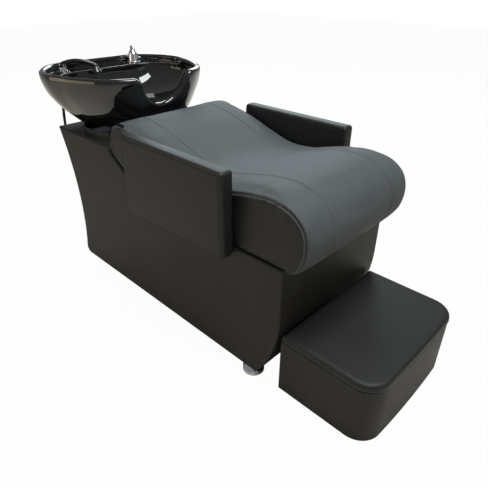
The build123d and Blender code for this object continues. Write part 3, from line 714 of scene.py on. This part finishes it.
# Inset from the rim and depth below the face, round an edge and over the sunk seam beside it
seamed_edge = [(0.0000, 0.0160), (0.0003, 0.0115), (0.0012, 0.0075), (0.0028, 0.0042), (0.0050, 0.0020),
               (0.0072, 0.0010), (0.0086, 0.0018), (0.0094, 0.0026), (0.0102, 0.0018), (0.0116, 0.0008),
               (0.0145, 0.0004)]
arm_stitch_insets = (0.0062, 0.0126)
arm_stitch_sink = 0.0014
soft_edge = [(0.0000, 0.0150), (0.0004, 0.0105), (0.0016, 0.0068), (0.0038, 0.0040), (0.0068, 0.0021),
             (0.0105, 0.0010), (0.0150, 0.0004)]
tucked_edge = [(0.0000, 0.0030), (0.0006, 0.0009), (0.0020, 0.0000), (0.0060, 0.0000)]


def armrest(side, name, node):
    """One armrest with its stitching. side is -1 for the near one and 1 for the far one."""
    y_in, y_out = (side * (arm_inner_y + cover_gap), side * (arm_outer_y - cover_gap))

    def ring_at(inset):
        return rounded_ring(arm_corners, [arm_corner_r] * 4, inset)

    def to_place(x, z, y):
        return place(x, y, z)

    arm = crowned_form("padded_" + name, ring_at, (y_in, y_out), (seamed_edge, seamed_edge),
                       (arm_belly, arm_belly), to_place)
    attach(arm, "base")
    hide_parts(node)
    rows = []
    for y, out in ((y_out - side * arm_stitch_sink, side), (y_in + side * arm_stitch_sink, -side)):
        for inset in arm_stitch_insets:
            line = [to_place(x, z, y) for x, z in ring_at(inset)]
            rows.append((np.array([*line, line[0]]), np.tile((0, out, 0), (len(line) + 1, 1))))
    stitches(name + "_stitching", rows, "base")


armrest(-1, "near_armrest", "armrest_near")
armrest(1, "far_armrest", "armrest_far")


def stool_ring(inset):
    """The footrest's outline from above, set in by inset, with its bowed front."""
    front = stool_front_x - stool_bow
    corners = [(stool_back_x, -stool_half), (stool_back_x, stool_half),
               (front, stool_half), (front, -stool_half)]
    ring = rounded_ring(corners, [stool_back_r, stool_back_r, stool_corner_r, stool_corner_r], inset)
    along = (ring[:, 0] - stool_back_x) / (front - stool_back_x)
    ring[:, 0] += stool_bow * along * (1 - (ring[:, 1] / stool_half)**2)
    return ring


stool_stitch_rise = 0.0045
stool_stitch_reach = 0.0002
step_top = crowned_form("padded_footrest_top", stool_ring,
                        (stool_seam_z + cover_gap, stool_h - stool_top_gap), (tucked_edge, soft_edge),
                        (0.0, stool_belly), place)
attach(step_top, "footrest")
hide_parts("footrest_top")
welt_line = [place(x, y, stool_seam_z + stool_stitch_rise) for x, y in stool_ring(-stool_stitch_reach)]
welt_out = [(x - (stool_back_x + stool_front_x) / 2, y, 0) for x, y in stool_ring(0.0)]
stitches("footrest_stitching", [(np.array(welt_line), np.array(welt_out))], "footrest")


# Basin
def table_at(table, at):
    """Values of a table's columns at shares of its first column."""
    t = np.array(table, float)
    return [np.interp(at, t[:, 0], t[:, k]) for k in range(1, t.shape[1])]


# The rim's outline from above, as shares of the basin's length and half width
rim_shares = [(0.0, 0.0), (0.0, 0.25), (0.0, 0.50), (0.04, 0.70), (0.15, 0.86), (0.25, 0.955), (0.40, 1.0),
              (0.54, 0.95), (0.667, 0.89), (0.85, 0.745), (0.94, 0.59), (1.0, 0.40), (1.0, 0.20), (1.0, 0.0)]
# Share of height, how far the rear and the front are drawn in there, and the share of width left
outside_shares = [(0.00, 0.235, 0.125, 0.69), (0.055, 0.185, 0.105, 0.72), (0.21, 0.125, 0.074, 0.81),
                  (0.40, 0.070, 0.053, 0.895), (0.60, 0.028, 0.028, 0.960), (0.82, 0.004, 0.004, 0.995),
                  (1.00, 0.000, 0.000, 1.000)]
inside_shares = [(0.00, 0.29, 0.24, 0.44), (0.10, 0.20, 0.15, 0.64), (0.28, 0.10, 0.08, 0.81),
                 (0.52, 0.04, 0.04, 0.92), (0.76, 0.01, 0.01, 0.985), (1.00, 0.00, 0.00, 1.000)]
# Places to each span of the rim's outline, the notch and the tables
rim_steps = 10
notch_steps = 8
table_steps = 6
notch_from_share = 0.8

plan_size = [basin_front_x - basin_back_x, basin_half]
half_plan = even_line(smooth_line(rim_shares, rim_steps) * plan_size, plan_step) / plan_size
plan_t = np.concatenate([half_plan[:, 0], half_plan[-2:0:-1, 0]])
plan_w = np.concatenate([half_plan[:, 1], -half_plan[-2:0:-1, 1]])
rim_y = np.abs(plan_w * basin_half)
# Height of the rim by distance from the middle, over the neck notch
notch_table = [(0.0, 0.720), (0.03, 0.7245), (0.06, 0.739), (0.078, 0.7545), (0.090, 0.770), (0.099, 0.7885),
               (0.107, 0.8080), (0.116, 0.8210), (0.128, 0.8270), (0.142, 0.828)]
notch_line = smooth_line(notch_table, notch_steps)
in_front = plan_t > notch_from_share
rim_h = np.where(in_front, np.interp(rim_y, notch_line[:, 0], notch_line[:, 1]), rim_z)
wall_top = rim_h - rim_roll
outside_table = smooth_line(outside_shares, table_steps)
inside_table = smooth_line(inside_shares, table_steps)


def outer_ring(z, grow=0.0):
    """The outside of the basin at each place's own height."""
    share = np.clip((z - basin_low_z) / (rim_z - basin_low_z), 0, 1)
    rear_draw, front_draw, side_draw = table_at(outside_table, share)
    length = basin_front_x - basin_back_x
    rear = basin_back_x + rear_draw * length - grow
    front = basin_front_x - front_draw * length + grow
    return np.column_stack([rear + plan_t * (front - rear), plan_w * (basin_half * side_draw + grow), z])


def inner_ring(z, rear_x, grow=0.0):
    """The inside of the bowl or of the rear recess at each place's own height."""
    share = np.clip((z - bowl_floor_z + grow) / (deck_z - bowl_floor_z), 0, 1)
    rear_draw, front_draw, side_draw = table_at(inside_table, share)
    front_x = basin_front_x - rim_t
    length = front_x - bowl_rear_x
    rear = rear_x + rear_draw * length - grow
    front = front_x - front_draw * length + grow
    half = (basin_half - rim_t) * side_draw + grow
    return np.column_stack([rear + plan_t * (front - rear), plan_w * half, z])


def hole_ring(z):
    """The waste hole, its places facing those of the bowl."""
    around = inner_ring(np.full(len(plan_t), bowl_floor_z), bowl_rear_x)[:, :2] - [waste_x, 0]
    around = around / np.linalg.norm(around, axis=1, keepdims=True) * waste_hole_r
    return np.column_stack([around + [waste_x, 0], np.full(len(plan_t), z)])


# Where the rings of places lie: shares of height or of way, and degrees round the rim
outside_rings = (0.0, 0.03, 0.08, 0.15, 0.23, 0.32, 0.42, 0.52, 0.62, 0.72, 0.81, 0.89, 0.95, 1.0)
rim_turns = (15, 32, 50, 70, 90, 110, 130, 148, 165)
recess_rings = (0.35, 0.7, 0.88, 1.0)
deck_rings = (0.06, 0.15, 0.5, 0.85, 0.93, 0.98)
bowl_rings = (0.985, 0.95, 0.88, 0.78, 0.67, 0.56, 0.46, 0.36, 0.27, 0.19, 0.12, 0.07, 0.03, 0.0)
floor_rings = (0.3, 0.6, 0.85, 1.0)
under_rings = (0.0, 0.1, 0.3, 0.6)
skirt_rings = (1.0, 0.6, 0.25, 0.0)
cavity_share = 0.42
under_rim_gap = 0.016
roof_gap = 0.010
join_gap = 0.001
near_skin = 0.999


def basin_form():
    """The whole basin as one closed form: outside, rim, recess, bowl, waste hole and hollow underside."""
    rings = []
    for share in outside_rings:
        rings.append(outer_ring(basin_low_z + share * (wall_top - basin_low_z)))
    outer = rings[-1]
    recess_x = basin_back_x + rim_t
    inner = inner_ring(wall_top, recess_x)
    for turn in np.radians(rim_turns):
        share = (1 - math.cos(turn)) / 2
        ring = outer + (inner - outer) * share
        ring[:, 2] = wall_top + rim_roll * math.sin(turn)
        rings.append(ring)
    rings.append(inner)
    recess_foot = np.minimum(deck_z, wall_top - deck_fall)
    for share in recess_rings:
        rings.append(inner_ring(wall_top + share * (recess_foot - wall_top), recess_x))
    for share in deck_rings:
        z = recess_foot - share * deck_fall * plan_t**4
        rings.append(inner_ring(z, recess_x + share * (bowl_rear_x - recess_x)))
    bowl_top = recess_foot - deck_fall * plan_t**4
    for share in bowl_rings:
        rings.append(inner_ring(bowl_floor_z + share * (bowl_top - bowl_floor_z), bowl_rear_x))
    floor = rings[-1]
    hole = hole_ring(bowl_floor_z)
    for share in floor_rings:
        rings.append(floor + (hole - floor) * share)
    low_hole = hole_ring(bowl_floor_z - skin_t)
    rings.append(low_hole)
    cavity_z = basin_low_z + cavity_share * (rim_z - basin_low_z)
    under = []
    for share in under_rings:
        z = bowl_floor_z - skin_t + join_gap + share * (cavity_z - bowl_floor_z + skin_t)
        ring = inner_ring(np.full(len(plan_t), z), bowl_rear_x, skin_t)
        ring[:, 2] = np.minimum(ring[:, 2], wall_top - under_rim_gap)
        under.append(ring)
    rings += [low_hole + (under[0] - low_hole) * 0.5, *under]
    roof = np.minimum(cavity_z, wall_top - roof_gap)
    skin = outer_ring(roof, -skin_t)
    bowl_side = inner_ring(roof, bowl_rear_x, skin_t)
    inside = np.abs(bowl_side) < np.abs(skin)
    rings.append(np.where(inside, bowl_side, skin * near_skin + bowl_side * (1 - near_skin)))
    for share in skirt_rings:
        rings.append(outer_ring(basin_low_z + share * (roof - basin_low_z), -skin_t))
    points = np.vstack(rings)
    points[:, 0] -= middle_x
    faces = strip_faces(len(rings), len(plan_t), close_rows=True)
    return new_piece("glazed_basin", points, faces, "black_basin")


def closed_block(name, low, high):
    """A box to cut with, between two corners."""
    xs, ys, zs = zip(low, high)
    corners = [place(x, y, z) for x in xs for y in ys for z in zs]
    faces = [(0, 1, 3, 2), (4, 6, 7, 5), (0, 4, 5, 1), (2, 3, 7, 6), (0, 2, 6, 4), (1, 5, 7, 3)]
    return new_piece(name, corners, faces, "black_basin", smooth=False)


drum_sides = 48
hole_cut = (0.770, 0.830)


def closed_drum(name, x, y, radius):
    """An upright round bar to cut a hole with."""
    angles = np.arange(drum_sides) * math.tau / drum_sides
    ring = [(x + radius * math.cos(a), y + radius * math.sin(a)) for a in angles]
    points = [place(a, b, z) for z in hole_cut for a, b in ring]
    faces = strip_faces(2, drum_sides)
    faces += [tuple(range(drum_sides)), tuple(range(drum_sides, 2 * drum_sides))[::-1]]
    return new_piece(name, points, faces, "black_basin", smooth=False)


def cut_from(piece, cutters):
    """Takes the closed forms out of the piece."""
    for cutter in cutters:
        face_out(cutter)
        cut = piece.modifiers.new("cut", "BOOLEAN")
        cut.operation = "DIFFERENCE"
        cut.solver = "EXACT"
        cut.object = cutter
    settled(piece)
    for cutter in cutters:
        mesh = cutter.data
        bpy.data.objects.remove(cutter)
        bpy.data.meshes.remove(mesh)


bowl = basin_form()
face_out(bowl)
cut_from(bowl, [closed_block("duct", duct_low, duct_high),
                closed_drum("near_hole", deck_x, -fitting_y, deck_hole_r),
                closed_drum("far_hole", deck_x, fitting_y, deck_hole_r)])
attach(bowl, "basin")
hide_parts("basin_bowl")


# Light, floor and backdrop. The camera sees the floor and the sky nearly white, whatever lights them
def light(name, at, aim, size, power, colour):
    """A soft rectangle of light at a place, turned to what it is aimed at."""
    lamp = bpy.data.lights.new(name, "AREA")
    lamp.shape = "RECTANGLE"
    lamp.size, lamp.size_y = size
    lamp.energy = power
    lamp.color = colour
    holder = bpy.data.objects.new(name, lamp)
    bpy.context.collection.objects.link(holder)
    holder.location = at
    holder.rotation_euler = (Vector(aim) - Vector(at)).to_track_quat("-Z", "Y").to_euler()


light("window_wall", (-3.0, 3.2, 2.6), (0.0, 0.0, 0.5), (3.4, 2.2), 96.0, (0.86, 0.95, 1.0))
light("ceiling_panel", (0.9, 0.1, 3.4), (-0.1, 0.0, 0.4), (2.0, 1.4), 92.0, (0.94, 0.99, 1.0))
light("room_side", (-1.6, -3.2, 0.9), (0.0, 0.0, 0.4), (2.4, 1.6), 14.0, (1.0, 0.84, 0.60))
light("front_fill", (3.0, 0.4, 1.3), (0.4, 0.0, 0.3), (1.6, 1.4), 2.0, (1.0, 0.92, 0.82))

world = bpy.data.worlds.new("studio")
bpy.context.scene.world = world
world.use_nodes = True
world.node_tree.nodes.clear()
sky = Value(world.node_tree.nodes)
rays = sky.make("ShaderNodeLightPath")
seen = Value(sky.nodes, rays.socket.node.outputs["Is Camera Ray"])
ambient = 0.22
backdrop = sky.make("ShaderNodeBackground", {},
                    {"Color": (1, 1, 1, 1), "Strength": seen * (1 - ambient) + ambient})
sky.make("ShaderNodeOutputWorld", {}, {"Surface": backdrop})

floor_material, ground = start_material("pale_floor")
mottle = noise(ground, rest_place(ground), 3.0)
matt = ground.make("ShaderNodeBsdfDiffuse", {},
                   {"Color": mottle.mix((0.80, 0.74, 0.65), (0.82, 0.76, 0.67))})
bright = ground.make("ShaderNodeEmission", {}, {"Color": (1, 1, 1, 1), "Strength": 1.0})
rays = ground.make("ShaderNodeLightPath")
floor_whiteness = 0.97
share = Value(ground.nodes, rays.socket.node.outputs["Is Camera Ray"]) * floor_whiteness
mixed = ground.make("ShaderNodeMixShader", {}, {0: share, 1: matt, 2: bright})
ground.make("ShaderNodeOutputMaterial", {}, {"Surface": mixed})
far, low = (12, -0.0005)
floor = new_piece("floor", [(-far, -far, low), (far, -far, low), (far, far, low), (-far, far, low)],
                  [(0, 1, 2, 3)], floor_material, smooth=False)
bpy.context.scene.view_settings.view_transform = "Standard"
